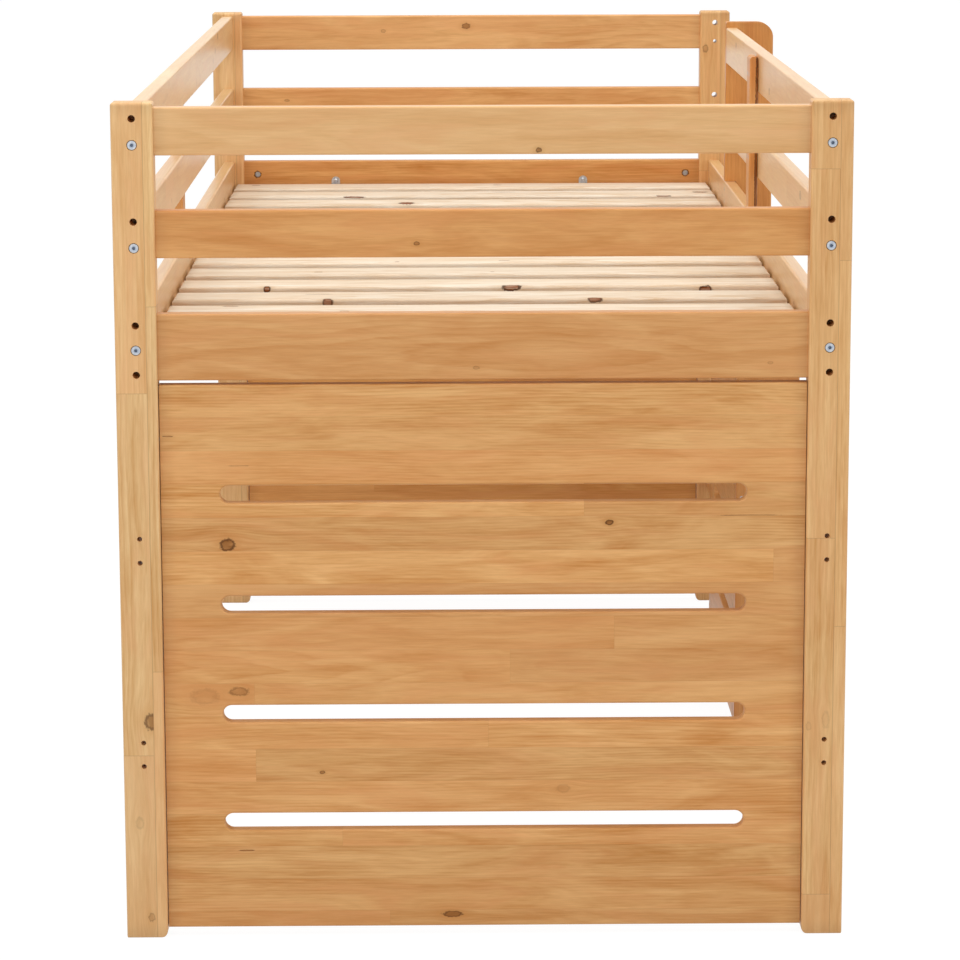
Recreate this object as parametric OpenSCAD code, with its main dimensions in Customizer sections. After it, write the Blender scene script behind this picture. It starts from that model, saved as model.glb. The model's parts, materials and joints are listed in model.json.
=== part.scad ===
// Mid sleeper bed in pine: drilled posts, bolted rails, slotted panels, a slatted base and a built-in ladder.
// X runs across the bed, Y along it from the front end to the back end, and Z up from the floor.

/* [Frame] */
// Length over the posts
bed_l = 1980; // [1800:10:2200]
// Width over the posts
bed_w = 982; // [880:2:1300]
// Width of a post, across the bed
post_w = 56; // [52:1:70]
// Thickness of a post, along the bed
post_t = 35; // [32:1:50]
// How far a post rises over the top rails
post_over = 7; // [4:1:60]
// Rounding of a post's long edges
post_edge = 4; // [2:0.5:6]
// Rounding of a post's top
post_top_r = 5; // [2:0.5:8]
// Rounding of a post's inner corner at the floor
foot_r = 10; // [4:1:14]

/* [Rails] */
// Height of the middle of the low rails, which carry the bed base
low_z = 820; // [780:1:900]
// Depth of the low rails
low_h = 90; // [86:1:120]
// Depth of the guard rails and of the upper end rails
guard_h = 64; // [60:1:80]
// Gap between a low rail and the middle rail over it
gap_mid = 75; // [60:1:90]
// Gap between the middle rail and the top rail
gap_top = 73; // [60:1:90]
// Thickness of the end rails
end_t = 22; // [18:0.5:26]
// Thickness of the side rails and guard rails
side_t = 20; // [18:0.5:26]
// Rounding of the long edges of every board
board_edge = 3; // [1:0.5:5]

/* [Uprights] */
// Width of a middle upright
upright_w = 50; // [46:1:70]
// Thickness of a middle upright
upright_t = 14; // [10:0.5:20]
// How far an upright stops short of the top of the posts
upright_drop = 13; // [8:1:30]
// How far the left upright, on the outer faces, stops short of the top of the posts
left_upright_drop = 46; // [20:1:54]
// Gap between the slats and an upright's lower end
upright_lift = 4; // [2:0.5:10]
// Rounding of an upright's top
upright_r = 6; // [2:0.5:6]
// Place of the uprights' middle along the bed
upright_y = -15; // [-120:1:120]

/* [Panels] */
// Thickness of the end panels
panel_t = 20; // [17:0.5:26]
// Clearance under a panel
panel_lift = 12; // [8:1:30]
// Seam between a panel and the rail or ledger over it
panel_seam = 6; // [3:0.5:10]
// Gap between an end panel and a post
panel_gap = 1; // [0.5:0.5:4]
// Height of a slot
slot_h = 24; // [16:1:40]
// Height of the lowest slot's middle over the panel's lower edge
slot_first = 150; // [120:1:180]
// Distance from one slot to the next
slot_pitch = 152.3; // [120:0.1:165]
// Wood left beside a slot's end
slot_margin = 79; // [60:1:120]
// Round-over along a slot's edges
slot_round = 3; // [1:0.5:5]
// Length of the side panel beside the ladder
side_panel_l = 515; // [360:5:700]
// Clearance under the side panel and its end board
side_lift = 2; // [0:1:20]
// Thickness of the side panel
side_panel_t = 20; // [16:0.5:24]

/* [Base] */
// Width of a slat
slat_w = 78; // [60:1:95]
// Thickness of a slat
slat_t = 18; // [14:0.5:24]
// Rounding of a slat's edges and ends
slat_edge = 5; // [2:0.5:6]
// Gap between a slat's end and the side rail
slat_side_gap = 3.5; // [1:0.5:8]
// Gap between the outermost slats and the end rails
slat_end_gap = 8; // [8:0.5:20]
// Depth of the slats' top below the top of the side rails
deck_drop = 43; // [25:1:50]
// Height of a slat ledger
ledger_h = 30; // [28:1:36]
// Thickness of a slat ledger
ledger_t = 20; // [16:0.5:26]
// Gap between a ledger's end and the post
ledger_gap = 2; // [1:0.5:10]

/* [Ladder] */
// Clear width of the entry between the ladder board and the post
entry_w = 350; // [300:5:500]
// Width of the ladder board
stile_w = 84; // [70:1:120]
// Thickness of the ladder board
stile_t = 25; // [20:0.5:35]
// How far the ladder board rises over the posts
stile_over = 3; // [0:1:60]
// Radius of the ladder board's outer top corner
stile_r = 28; // [10:1:40]
// Height of the lower rung's middle
rung_first = 260; // [220:1:280]
// Rise from rung to rung
rung_rise = 283.5; // [240:0.5:300]
// Depth of a rung, from front to back of the foot
rung_t = 28; // [24:0.5:60]
// Height of a rung
rung_h = 64; // [56:1:80]
// Rounding of a rung's edges
rung_edge = 6; // [2:0.5:8]

/* [Bolted joints] */
// Thread diameter of the bolts
bolt_d = 6; // [5:0.5:8]
// Bore for a bolt
bolt_bore = 7; // [6.5:0.1:8.5]
// Diameter of a bolt's head
head_d = 13; // [11:0.5:17]
// Thickness of a bolt's head
head_h = 2.8; // [2:0.1:4]
// Depth of a bolt's head under the wood's face
head_sink = 0.4; // [0:0.1:2]
// Width across the flats of the hex socket
socket_af = 4; // [3:0.5:5]
// Diameter of a barrel nut
nut_d = 10; // [9:0.5:12]
// Length of a barrel nut
nut_l = 14; // [10:0.5:16]
// Distance from a rail's end to its barrel nuts
nut_in = 26; // [20:1:40]
// Distance between the two holes of a guard rail's joint
guard_pair = 35; // [28:0.5:40]
// Distance between the two bolts of a low end rail
end_pair = 39; // [34:0.5:42]
// Distance between the two bolts of a rung
rung_pair = 33; // [24:0.5:38]
// Diameter of the spare holes
spare_d = 10; // [7:0.5:12]
// Distance from a side rail's bolt to the spare hole over and under it
spare_step = 33.3; // [32:0.1:36]
// Distance of a side rail's bolt under the middle of the rail
side_bolt_drop = 3; // [0:0.5:5]
// Metal left under the hex socket of a bolt
socket_floor = 0.6; // [0.4:0.1:1]
// Distance of a panel's bolts from its upper and lower edge
panel_bolt_in = 75; // [40:1:110]

/* [Dowels, plates and screws] */
// Diameter of a dowel
dowel_d = 8; // [6:0.5:10]
// Length of a dowel
dowel_l = 40; // [30:1:44]
// Distance between the two dowels of a rail's end
dowel_pair = 32; // [24:0.5:40]
// Width of a mending plate
plate_w = 16; // [12:0.5:20]
// Thickness of a mending plate
plate_t = 2; // [1:0.1:2.5]
// Reach of a mending plate up a low end rail
plate_up = 60; // [50:1:70]
// Reach of a mending plate down a panel
plate_down = 64; // [50:1:90]
// Reach of a mending plate up a ledger
plate_on_ledger = 17; // [16:0.5:18]
// Distance of a plate's inner screws from the edge of the wood
plate_screw_in = 20; // [16:1:24]
// Place of the left plate on the back end
plate_left_x = -260; // [-330:1:-200]
// Place of the right plate on the back end
plate_right_x = 213; // [180:1:330]
// Distance between the two plates of the side panel
plate_side_pitch = 300; // [200:1:320]
// Shank diameter of the screws
screw_d = 4; // [3:0.5:5]
// Head diameter of the screws
screw_head_d = 8; // [7:0.5:9]
// Depth of a screw's head
screw_head_h = 2.4; // [2:0.1:3]
// Grip of a screw in the wood behind
screw_grip = 14; // [10:0.5:16]
// Distance of the ledger screws from a ledger's top
ledger_screw_in = 7; // [6:0.5:8]
// Distance of the outermost ledger screws from a ledger's end
ledger_screw_end = 55; // [30:1:120]
// Distance of an upright's screws from its edges
upright_screw_in = 12.5; // [9:0.5:16]
// Height of the lower screw of the ladder board over the side rail's middle
stile_screw_up = 8; // [0:1:12]
// Distance between the two screws of the ladder board
stile_screw_pair = 22; // [14:1:26]

/* [Hidden] */

$fn = 48;
PINE = [0.84, 0.64, 0.41];
RAW_PINE = [0.93, 0.86, 0.74];
BEECH = [0.86, 0.74, 0.56];
ZINC = [0.70, 0.74, 0.78];

// Clearances
fit = 0.3;       // round a part in its notch
nut_fit = 0.2;   // on the diameter of a barrel nut's bore
thread_fit = 0.3; // on the diameter of a nut's thread
dowel_fit = 0.4; // on the diameter and at the bottom of a dowel's bore
screw_fit = 0.4; // on the diameter of a screw's bore
head_fit = 1;    // on the diameter of a bolt head's counterbore
over = 1;        // run of a cut past the face that it opens
tip_run = 3;     // run of a bolt past its nut

// Small details
soft_r = 2;      // rounding of the uprights and ledgers
sharp_r = 1;     // rounding of a slat's lower edges
head_rim = 0.6;  // bevel of a bolt's head
screw_crown = 1.2; // draw-in of a plate screw's head
cross_l = 4.4;   // length and width of the arms of a screw's cross
cross_w = 0.8;
nut_slot = 1.2;  // width and depth of the slot in a barrel nut

// Heights
low_top = low_z + low_h / 2;
low_bottom = low_z - low_h / 2;
mid_z = low_top + gap_mid + guard_h / 2;
top_z = mid_z + guard_h + gap_top;
post_h = top_z + guard_h / 2 + post_over;
slat_top = low_top - deck_drop;
ledger_top = slat_top - slat_t;
ledger_bottom = ledger_top - ledger_h;
panel_top = low_bottom - panel_seam;
side_panel_top = ledger_bottom - panel_seam;
slot_low_z = panel_lift + slot_first;
side_bolt_z = low_z - side_bolt_drop;
guard_zs = [mid_z, top_z];
rung_zs = [rung_first, rung_first + rung_rise];
panel_bolt_zs = [panel_lift + panel_bolt_in, panel_top - panel_bolt_in];
rail_bolt_zs = [side_bolt_z, mid_z - guard_pair / 2, top_z - guard_pair / 2];
rail_spare_zs = [
    side_bolt_z - spare_step, side_bolt_z + spare_step, mid_z + guard_pair / 2, top_z + guard_pair / 2
];
end_bolt_zs = [low_z - end_pair / 2, low_z + end_pair / 2];
dowel_zs = [for (z = guard_zs, step = [-1, 1]) z + step * dowel_pair / 2];
rung_bolt_zs = [for (z = rung_zs, step = [-1, 1]) z + step * rung_pair / 2];
upright_bottom = slat_top + upright_lift;
upright_low_screw_z = (upright_bottom + low_top) / 2;
ledger_screw_z = ledger_top - ledger_screw_in;
stile_screw_zs = [low_z + stile_screw_up, low_z + stile_screw_up + stile_screw_pair];
side_panel_screw_zs = [panel_bolt_zs[0], (panel_bolt_zs[0] + panel_bolt_zs[1]) / 2, panel_bolt_zs[1]];

// Places across the bed
post_out = bed_w / 2;
post_in = post_out - post_w;
post_mid_x = post_out - post_w / 2;
side_in = post_mid_x - side_t / 2;
side_out = post_mid_x + side_t / 2;
ledger_in = side_in - ledger_t;
stile_out = side_in + stile_w;
panel_half = post_in - panel_gap;
bed_shift = (post_out - stile_out) / 2;

// Places along the bed
post_end = bed_l / 2;
post_near = post_end - post_t;
post_mid_y = post_end - post_t / 2;
end_in = post_mid_y - end_t / 2;
panel_mid_y = end_in + panel_t / 2;
stile_far = post_near - entry_w;
stile_near = stile_far - stile_t;
stile_mid = stile_far - stile_t / 2;
side_panel_y0 = stile_far - side_panel_l;
side_stile_y0 = side_panel_y0 - stile_t;
ledger_end = post_near - ledger_gap;

// Counts
slat_n = 15;
slot_n = 4;
slat_pitch = (2 * (end_in - slat_end_gap) - slat_w) / (slat_n - 1);
ledger_screw_n = 6;
ledger_screw_step = 2 * (ledger_end - ledger_screw_end) / (ledger_screw_n - 1);

// Mending plates: heights of their ends and screws
plate_end = plate_w / 2;
end_plate_bottom = panel_top - plate_down;
end_plate_top = low_bottom + plate_up;
side_plate_bottom = side_panel_top - plate_down;
side_plate_top = ledger_bottom + plate_on_ledger;
end_plate_zs = [
    end_plate_bottom + plate_end, panel_top - plate_screw_in,
    low_bottom + plate_screw_in, end_plate_top - plate_end
];
side_plate_zs = [side_plate_bottom + plate_end, side_panel_top - plate_screw_in, side_plate_top - plate_end];
side_plate_ys = [for (step = [-1, 1]) side_panel_y0 + (side_panel_l + step * plate_side_pitch) / 2];

// Solids from profiles: along_x takes a profile drawn in Y and Z, and along_y one drawn in X and Z
module along_x(x0, l) {
    translate([x0, 0, 0]) rotate([90, 0, 90]) linear_extrude(l) children();
}

module along_y(y0, l) {
    translate([0, y0 + l, 0]) rotate([90, 0, 0]) linear_extrude(l) children();
}

// What lies outside a rounded corner at the origin
module corner_cut(r) {
    difference() {
        translate([-over, -over]) square(r + over);
        translate([r, r]) circle(r);
    }
}

// Rectangle with its lower left corner at the origin, and four radii from that corner round
module rounded(w, h, r) {
    difference() {
        square([w, h]);
        corner_cut(r[0]);
        translate([w, 0]) rotate(90) corner_cut(r[1]);
        translate([w, h]) rotate(180) corner_cut(r[2]);
        translate([0, h]) rotate(-90) corner_cut(r[3]);
    }
}

module board_section(w, h, r = board_edge) {
    rounded(w, h, [r, r, r, r]);
}

// Bores along X and along Y
module bore_x(x0, x1, y, z, d) {
    translate([min(x0, x1), y, z]) rotate([0, 90, 0]) cylinder(h = abs(x1 - x0), d = d);
}

module bore_y(x, y0, y1, z, d) {
    translate([x, min(y0, y1), z]) rotate([-90, 0, 0]) cylinder(h = abs(y1 - y0), d = d);
}

// Bolt with a hex socket, its head's face at the origin and its shank along +Z
module bolt(through) {
    l = through - head_sink + nut_in + nut_d / 2 + tip_run;
    socket_deep = head_h - socket_floor;
    difference() {
        union() {
            cylinder(h = head_rim, d1 = head_d - 2 * head_rim, d2 = head_d);
            translate([0, 0, head_rim]) cylinder(h = head_h - head_rim, d = head_d);
            translate([0, 0, head_rim]) cylinder(h = l - head_rim, d = bolt_d);
        }
        translate([0, 0, -over]) cylinder(h = over + socket_deep, d = socket_af / cos(30), $fn = 6);
    }
}

// Counterbore and bore for that bolt, from the wood's face at the origin along +Z
module bolt_bore(through) {
    translate([0, 0, -over]) cylinder(h = over + head_sink + head_h, d = head_d + head_fit);
    cylinder(h = through + over, d = bolt_bore);
}

// Barrel nut with its bore along X and its screwdriver slot up
module barrel_nut() {
    difference() {
        translate([0, 0, -nut_l / 2]) cylinder(h = nut_l, d = nut_d);
        translate([-nut_d, 0, 0]) rotate([0, 90, 0]) cylinder(h = 2 * nut_d, d = bolt_d + thread_fit);
        translate([-nut_d, -nut_slot / 2, nut_l / 2 - nut_slot]) cube([2 * nut_d, nut_slot, nut_slot + over]);
    }
}

// Bores in a rail's end, from the end's face at the origin along +X, with the nut let in from the face at +Z
module nut_joint(wood_t) {
    bore_x(-over, nut_in + nut_d / 2 + tip_run + over, 0, 0, bolt_bore);
    translate([nut_in, 0, -nut_l / 2 - nut_fit]) {
        cylinder(h = nut_l / 2 + nut_fit + wood_t / 2 + over, d = nut_d + nut_fit);
    }
}

// Countersunk screw with its head's face at the origin and its shank along +Z
module csk_screw(l) {
    difference() {
        union() {
            cylinder(h = screw_head_h, d1 = screw_head_d, d2 = screw_d);
            cylinder(h = l, d = screw_d);
        }
        screw_cross();
    }
}

module csk_hole(l) {
    cylinder(h = screw_head_h + screw_fit / 2, d1 = screw_head_d + screw_fit, d2 = screw_d + screw_fit);
    translate([0, 0, -over]) cylinder(h = over, d = screw_head_d + screw_fit);
    cylinder(h = l + screw_fit, d = screw_d + screw_fit);
}

// Round-headed screw for the plates, its head's seat at the origin and its shank along +Z
module plate_screw() {
    difference() {
        union() {
            translate([0, 0, -screw_head_h / 2]) cylinder(h = screw_head_h / 2, d = screw_head_d);
            translate([0, 0, -screw_head_h]) {
                cylinder(h = screw_head_h / 2, d1 = screw_head_d - 2 * screw_crown, d2 = screw_head_d);
            }
            cylinder(h = plate_t + screw_grip, d = screw_d);
        }
        translate([0, 0, -screw_head_h]) screw_cross();
    }
}

module screw_cross() {
    deep = screw_head_h / 2;
    for (turn = [0, 90]) {
        rotate(turn) translate([-cross_l / 2, -cross_w / 2, -over]) cube([cross_l, cross_w, deep + over]);
    }
}

// Everything below is placed on the bed: side is -1 left or 1 right, and end is -1 front or 1 back
module mirrored(side, end) {
    translate([bed_shift, 0, 0]) mirror([side < 0 ? 1 : 0, 0, 0]) mirror([0, end < 0 ? 1 : 0, 0]) children();
}

module placed() {
    translate([bed_shift, 0, 0]) children();
}

// Post, drawn as the back right one
module post(side, end, ladder = false) {
    color(PINE) mirrored(side, end) difference() {
        intersection() {
            translate([post_in, post_near, 0]) linear_extrude(post_h) {
                board_section(post_w, post_t, post_edge);
            }
            along_y(post_near - over, post_t + 2 * over) translate([post_in, 0]) {
                rounded(post_w, post_h, [foot_r, board_edge, post_top_r, post_top_r]);
            }
            along_x(post_in - over, post_w + 2 * over) translate([post_near, 0]) {
                rounded(post_t, post_h, [board_edge, board_edge, post_top_r, post_top_r]);
            }
        }
        post_rail_bores();
        post_end_bores();
        post_rung_bores(ladder);
    }
}

module post_rail_bores() {
    for (z = rail_bolt_zs) {
        translate([post_mid_x, post_end, z]) rotate([90, 0, 0]) bolt_bore(post_t);
    }
    for (z = rail_spare_zs) {
        bore_y(post_mid_x, post_near - over, post_end + over, z, spare_d);
    }
}

module post_end_bores() {
    for (z = end_bolt_zs) {
        translate([post_out, post_mid_y, z]) rotate([0, -90, 0]) bolt_bore(post_w);
    }
    for (z = panel_bolt_zs) {
        translate([post_out, panel_mid_y, z]) rotate([0, -90, 0]) bolt_bore(post_w);
    }
    for (z = dowel_zs) {
        bore_x(post_in - over, post_in + (dowel_l + dowel_fit) / 2, post_mid_y, z, dowel_d + dowel_fit);
    }
}

module post_rung_bores(ladder) {
    for (z = rung_bolt_zs) {
        if (ladder) {
            translate([post_mid_x, post_end, z]) rotate([90, 0, 0]) bolt_bore(post_t);
        } else {
            bore_y(post_mid_x, post_near - over, post_end + over, z, bolt_bore);
        }
    }
}

// End rails: the upper ones are dowelled, the low ones are bolted to barrel nuts let in from the bed's side
module upper_end_rail(end, z) {
    color(PINE) mirrored(1, end) difference() {
        along_x(-post_in, 2 * post_in) translate([end_in, z - guard_h / 2]) board_section(end_t, guard_h);
        for (side = [-1, 1], step = [-1, 1]) {
            dowel_end = post_in - (dowel_l + dowel_fit) / 2;
            dowel_z = z + step * dowel_pair / 2;
            bore_x(side * (post_in + over), side * dowel_end, post_mid_y, dowel_z, dowel_d + dowel_fit);
        }
    }
}

module low_end_rail(end) {
    color(PINE) mirrored(1, end) difference() {
        along_x(-post_in, 2 * post_in) translate([end_in, low_bottom]) board_section(end_t, low_h);
        end_joint_bores(post_in, end_bolt_zs, end_t, post_mid_y);
        if (end > 0) plate_screw_bores();
    }
}

// Joints at both ends of a rail or panel that reaches half_l from the bed's middle
module end_joint_bores(half_l, zs, wood_t, y) {
    for (side = [0, 1], z = zs) {
        mirror([side, 0, 0]) translate([half_l, y, z]) rotate([90, 0, 0]) mirror([1, 0, 0]) nut_joint(wood_t);
    }
}

// Panels are drawn flat, with their lower left corner at the origin, and stood up afterwards by lift
module slotted_board(l, top, t, lift) {
    difference() {
        along_x(0, l) board_section(top - lift, t);
        for (i = [0 : slot_n - 1]) {
            translate([l / 2, slot_low_z - lift + i * slot_pitch, 0]) slot(l - 2 * slot_margin, t);
        }
    }
}

module slot(l, t) {
    run = l - slot_h;
    translate([0, 0, -over]) linear_extrude(t + 2 * over) {
        square([run, slot_h], center = true);
        for (x = [-run / 2, run / 2]) translate([x, 0]) circle(d = slot_h);
    }
    slot_edges(run);
    translate([0, 0, t]) mirror([0, 0, 1]) slot_edges(run);
}

// The round-over along one face of a slot
module slot_edges(run) {
    for (x = [-run / 2, run / 2]) translate([x, 0, 0]) rotate_extrude() slot_flare();
    rotate([90, 0, 90]) linear_extrude(run, center = true) {
        slot_flare();
        mirror([1, 0]) slot_flare();
    }
}

module slot_flare() {
    edge = slot_h / 2 + slot_round;
    difference() {
        translate([0, -over]) square([edge, slot_round + over]);
        translate([edge, slot_round]) circle(slot_round);
    }
}

module end_panel(end) {
    color(PINE) mirrored(1, end) difference() {
        translate([-panel_half, end_in + panel_t, panel_lift]) rotate([90, 0, 0]) {
            slotted_board(2 * panel_half, panel_top, panel_t, panel_lift);
        }
        end_joint_bores(panel_half, panel_bolt_zs, panel_t, panel_mid_y);
        if (end > 0) plate_screw_bores();
    }
}

module side_panel() {
    color(PINE) placed() difference() {
        translate([side_in - side_panel_t, side_panel_y0, side_lift]) rotate([90, 0, 90]) {
            slotted_board(side_panel_l, side_panel_top, side_panel_t, side_lift);
        }
        at_side_panel_screws() csk_hole(side_panel_t + screw_grip);
        at_side_stile_screws() csk_hole(stile_t + screw_grip);
        side_plate_screw_bores();
    }
}

// Board on the front end of the side panel, as far out as the ladder board
module side_stile() {
    w = side_panel_t + stile_w;
    h = side_panel_top - side_lift;
    x0 = side_in - side_panel_t;
    color(PINE) placed() difference() {
        intersection() {
            translate([x0, side_stile_y0, side_lift]) linear_extrude(h) board_section(w, stile_t);
            along_y(side_stile_y0 - over, stile_t + 2 * over) translate([x0, side_lift]) {
                rounded(w, h, [board_edge, board_edge, stile_r, board_edge]);
            }
        }
        at_side_stile_screws() csk_hole(stile_t + screw_grip);
    }
}

module at_side_stile_screws() {
    for (z = side_panel_screw_zs) {
        translate([side_in - side_panel_t / 2, side_stile_y0, z]) rotate([-90, 0, 0]) children();
    }
}

// Side rails and guard rails, each bolted at both ends
module side_board(side, z, h, far_end, bolt_z) {
    l = far_end + post_near;
    difference() {
        along_y(-post_near, l) translate([side_in, z - h / 2]) board_section(side_t, h);
        translate([post_mid_x, -post_near, bolt_z]) rotate([90, 0, 90]) nut_joint(side_t);
        translate([post_mid_x, far_end, bolt_z]) rotate([90, 0, 90]) mirror([1, 0, 0]) nut_joint(side_t);
    }
}

module side_rail(side) {
    color(PINE) mirrored(side, 1) difference() {
        side_board(side, low_z, low_h, post_near, side_bolt_z);
        at_ledger_screws() csk_hole(ledger_t + screw_grip);
        at_upright_screws(side, [upright_low_screw_z]) csk_hole(upright_t + screw_grip);
        if (side > 0) at_stile_screws() csk_hole(side_t + screw_grip);
    }
}

module guard(side, z) {
    color(PINE) mirrored(side, 1) difference() {
        side_board(side, z, guard_h, side > 0 ? stile_near : post_near, z - guard_pair / 2);
        at_upright_screws(side, [upright_screw_z(side, z)]) csk_hole(upright_t + screw_grip);
    }
}

// Middle uprights: the right one stands on the inner faces, the left one on the outer faces
module upright(side) {
    x0 = side > 0 ? side_in - upright_t : side_out;
    h = upright_top(side) - upright_bottom;
    color(PINE) mirrored(side, 1) difference() {
        intersection() {
            translate([x0, upright_y - upright_w / 2, upright_bottom]) linear_extrude(h) {
                board_section(upright_t, upright_w, soft_r);
            }
            along_y(upright_y - upright_w, 2 * upright_w) translate([x0, upright_bottom]) {
                rounded(upright_t, h, [soft_r, soft_r, upright_r, upright_r]);
            }
        }
        at_upright_screws(side, upright_screw_zs(side)) csk_hole(upright_t + screw_grip);
    }
}

// The screws stand in the middle of what an upright covers of a guard rail
function upright_top(side) = post_h - (side > 0 ? upright_drop : left_upright_drop);
function upright_screw_z(side, z) = (z - guard_h / 2 + min(z + guard_h / 2, upright_top(side))) / 2;
function upright_screw_zs(side) = concat(
    [upright_low_screw_z], [for (z = guard_zs) upright_screw_z(side, z)]
);

module at_upright_screws(side, zs) {
    x = side > 0 ? side_in - upright_t : side_out + upright_t;
    for (z = zs, step = [-1, 1]) {
        translate([x, upright_y + step * (upright_w / 2 - upright_screw_in), z]) {
            rotate([0, side > 0 ? 90 : -90, 0]) children();
        }
    }
}

// Ledgers and slats
module ledger(side) {
    color(PINE) mirrored(side, 1) difference() {
        along_y(-ledger_end, 2 * ledger_end) translate([ledger_in, ledger_bottom]) {
            board_section(ledger_t, ledger_h, soft_r);
        }
        at_ledger_screws() csk_hole(ledger_t + screw_grip);
        if (side > 0) side_plate_screw_bores();
    }
}

module at_ledger_screws() {
    for (i = [0 : ledger_screw_n - 1]) {
        translate([ledger_in, (i - (ledger_screw_n - 1) / 2) * ledger_screw_step, ledger_screw_z]) {
            rotate([0, 90, 0]) children();
        }
    }
}

module slat(i) {
    half = side_in - slat_side_gap;
    y0 = -end_in + slat_end_gap + (i - 1) * slat_pitch;
    color(RAW_PINE) placed() intersection() {
        along_x(-half, 2 * half) translate([y0, ledger_top]) board_section(slat_w, slat_t, slat_edge);
        along_y(y0 - over, slat_w + 2 * over) translate([-half, ledger_top]) {
            rounded(2 * half, slat_t, [sharp_r, sharp_r, slat_edge, slat_edge]);
        }
    }
}

// Ladder: the board is notched over the side rail, and the rungs run from it to the back right post
module ladder_stile() {
    h = post_h + stile_over;
    color(PINE) placed() difference() {
        intersection() {
            translate([side_in, stile_near, 0]) linear_extrude(h) board_section(stile_w, stile_t);
            along_y(stile_near - over, stile_t + 2 * over) translate([side_in, 0]) {
                rounded(stile_w, h, [board_edge, board_edge, stile_r, board_edge]);
            }
        }
        translate([side_in - over, stile_near - over, low_bottom - fit]) {
            cube([side_t + fit + over, stile_t + 2 * over, low_h + 2 * fit]);
        }
        at_stile_bolts() bolt_bore(stile_t);
        at_stile_rung_bolts() bolt_bore(stile_t);
        at_stile_screws() csk_hole(side_t + screw_grip);
        at_side_panel_screws() csk_hole(side_panel_t + screw_grip);
    }
}

module at_stile_bolts() {
    for (z = guard_zs) {
        translate([post_mid_x, stile_far, z - guard_pair / 2]) rotate([90, 0, 0]) children();
    }
}

module at_stile_rung_bolts() {
    for (z = rung_bolt_zs) {
        translate([post_mid_x, stile_near, z]) rotate([-90, 0, 0]) children();
    }
}

module at_stile_screws() {
    for (z = stile_screw_zs) {
        translate([side_in, stile_mid, z]) rotate([0, 90, 0]) children();
    }
}

module at_side_panel_screws() {
    for (z = side_panel_screw_zs) {
        translate([side_in - side_panel_t, stile_mid, z]) rotate([0, 90, 0]) children();
    }
}

module rung(z) {
    color(PINE) placed() difference() {
        along_y(stile_far, entry_w) translate([side_in, z - rung_h / 2]) {
            board_section(rung_t, rung_h, rung_edge);
        }
        for (step = [-1, 1]) {
            translate([post_mid_x, stile_far, z + step * rung_pair / 2]) rotate([90, 0, 90]) rung_joint();
            translate([post_mid_x, post_near, z + step * rung_pair / 2]) {
                rotate([90, 0, 90]) mirror([1, 0, 0]) rung_joint();
            }
        }
    }
}

// The nuts of a rung are let in from its outer face
module rung_joint() {
    nut_joint(2 * (rung_t - side_t / 2));
}

// Bolts
module rail_bolts(end) {
    color(ZINC) for (side = [-1, 1], z = rail_bolt_zs) {
        if (end < 0 || side < 0 || z == side_bolt_z) {
            mirrored(side, end) translate([post_mid_x, post_end - head_sink, z]) rotate([90, 0, 0]) {
                bolt(post_t);
            }
        }
    }
}

module ladder_bolts() {
    color(ZINC) placed() {
        translate([0, -head_sink, 0]) at_stile_bolts() bolt(stile_t);
        translate([0, head_sink, 0]) at_stile_rung_bolts() bolt(stile_t);
        for (z = rung_bolt_zs) {
            translate([post_mid_x, post_end - head_sink, z]) rotate([90, 0, 0]) bolt(post_t);
        }
    }
}

module end_bolts(end) {
    color(ZINC) for (side = [-1, 1]) mirrored(side, end) {
        for (z = end_bolt_zs) {
            translate([post_out - head_sink, post_mid_y, z]) rotate([0, -90, 0]) bolt(post_w);
        }
        for (z = panel_bolt_zs) {
            translate([post_out - head_sink, panel_mid_y, z]) rotate([0, -90, 0]) bolt(post_w + panel_gap);
        }
    }
}

// Barrel nuts
module rail_nuts() {
    color(ZINC) {
        for (side = [-1, 1], z = rail_bolt_zs) {
            far_end = side > 0 && z != side_bolt_z ? stile_near : post_near;
            for (y = [-post_near + nut_in, far_end - nut_in]) {
                mirrored(side, 1) translate([post_mid_x, y, z]) rotate([90, 0, 90]) barrel_nut();
            }
        }
        placed() for (z = rung_bolt_zs, y = [stile_far + nut_in, post_near - nut_in]) {
            translate([post_mid_x, y, z]) rotate([90, 0, 90]) barrel_nut();
        }
    }
}

module end_nuts(end) {
    color(ZINC) for (side = [-1, 1]) mirrored(side, end) {
        for (z = end_bolt_zs) {
            translate([post_in - nut_in, post_mid_y, z]) rotate([90, 0, 0]) barrel_nut();
        }
        for (z = panel_bolt_zs) {
            translate([panel_half - nut_in, panel_mid_y, z]) rotate([90, 0, 0]) barrel_nut();
        }
    }
}

module end_dowels() {
    color(BEECH) for (side = [-1, 1], end = [-1, 1], z = dowel_zs) {
        mirrored(side, end) translate([post_in - dowel_l / 2, post_mid_y, z]) rotate([0, 90, 0]) {
            cylinder(h = dowel_l, d = dowel_d);
        }
    }
}

// Mending plates, flat on the inner faces
// Flat bar with round ends, along Y from the origin, with a hole at each place
module plate(l, holes) {
    difference() {
        linear_extrude(plate_t) {
            translate([-plate_w / 2, plate_w / 2]) square([plate_w, l - plate_w]);
            for (y = [plate_w / 2, l - plate_w / 2]) translate([0, y]) circle(d = plate_w);
        }
        for (y = holes) translate([0, y, -over]) {
            cylinder(h = plate_t + 2 * over, d = screw_d + 2 * screw_fit);
        }
    }
}

module plates_back() {
    color(ZINC) placed() for (x = [plate_left_x, plate_right_x]) {
        translate([x, end_in, end_plate_bottom]) rotate([90, 0, 0]) {
            plate(end_plate_top - end_plate_bottom, [for (z = end_plate_zs) z - end_plate_bottom]);
        }
    }
}

module plates_side() {
    color(ZINC) placed() for (y = side_plate_ys) {
        translate([side_in - side_panel_t, y, side_plate_bottom]) rotate([90, 0, -90]) {
            plate(side_plate_top - side_plate_bottom, [for (z = side_plate_zs) z - side_plate_bottom]);
        }
    }
}

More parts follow.
